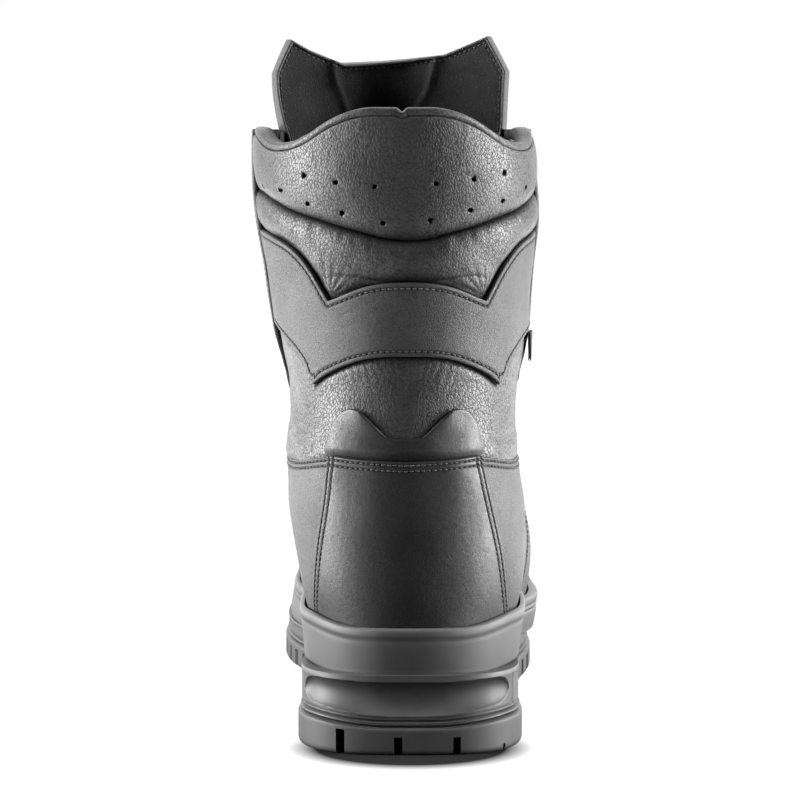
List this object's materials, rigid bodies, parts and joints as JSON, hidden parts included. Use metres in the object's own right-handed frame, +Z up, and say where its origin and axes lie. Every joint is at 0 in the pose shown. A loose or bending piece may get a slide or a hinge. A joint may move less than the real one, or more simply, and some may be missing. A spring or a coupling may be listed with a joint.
{
  "type": "fire boot",
  "caption": "Black leather lace-up fire boot for the right foot, with a padded vented collar, rubber sole unit, steel safety parts inside and a hinged tongue.",
  "frame": {"origin": "centre of the boot's box, on the ground under the tread", "axes": "+Z up, +Y towards the toe, +X towards the outer (lateral) side of the right foot"},
  "size_m": [0.1134, 0.31, 0.2648],
  "materials": {
    "smooth_leather": "smooth, semi-gloss, finely creased",
    "grained_leather": "pebbled grain, semi-matt",
    "suede": "napped, matt",
    "rubber": "moulded, matt",
    "lining_fabric": "brushed textile, matt",
    "foam": "open-cell padding",
    "board": "pressed fibre",
    "steel": "pressed sheet",
    "black_metal": "black lacquer, satin",
    "woven_label": "woven ribbon, matt"
  },
  "bodies": {
    "boot": {"outsole": "rubber", "midsole": "rubber", "shank": "steel", "puncture_plate": "steel", "insole_board": "board", "footbed": "lining_fabric", "vamp": "smooth_leather", "quarter_lateral": "smooth_leather", "quarter_medial": "smooth_leather", "heel_counter": "smooth_leather", "ankle_panel": "grained_leather", "back_band": "smooth_leather", "shaft_roll": "grained_leather", "collar": "grained_leather", "collar_binding": "grained_leather", "heel_cover": "smooth_leather", "facing_lateral": "smooth_leather", "facing_medial": "smooth_leather", "heel_rand": "rubber", "toe_bumper": "rubber", "safety_toe_cap": "steel", "heel_stiffener": "board", "ankle_padding": "foam", "collar_padding": "foam", "heel_lining": "lining_fabric", "collar_lining": "lining_fabric", "vamp_lining": "lining_fabric", "quarter_lining_lateral": "lining_fabric", "quarter_lining_medial": "lining_fabric", "shaft_lining_lateral": "lining_fabric", "shaft_lining_medial": "lining_fabric", "side_label": "woven_label", "eyelet_lateral_1": "black_metal", "eyelet_lateral_2": "black_metal", "eyelet_lateral_3": "black_metal", "eyelet_lateral_4": "black_metal", "hook_lateral_1": "black_metal", "hook_lateral_2": "black_metal", "hook_lateral_3": "black_metal", "hook_lateral_4": "black_metal", "hook_lateral_5": "black_metal", "eyelet_medial_1": "black_metal", "eyelet_medial_2": "black_metal", "eyelet_medial_3": "black_metal", "eyelet_medial_4": "black_metal", "hook_medial_1": "black_metal", "hook_medial_2": "black_metal", "hook_medial_3": "black_metal", "hook_medial_4": "black_metal", "hook_medial_5": "black_metal"},
    "tongue": {"tongue_outer": "smooth_leather", "tongue_padding": "foam", "tongue_lining": "suede"}
  },
  "joints": [
    {"name": "tongue_hinge", "type": "hinge", "parent": "boot", "child": "tongue", "pos_m": [0, 0.033, 0.104], "axis": [1, 0, 0], "range_deg": [0, 10]}
  ]
}
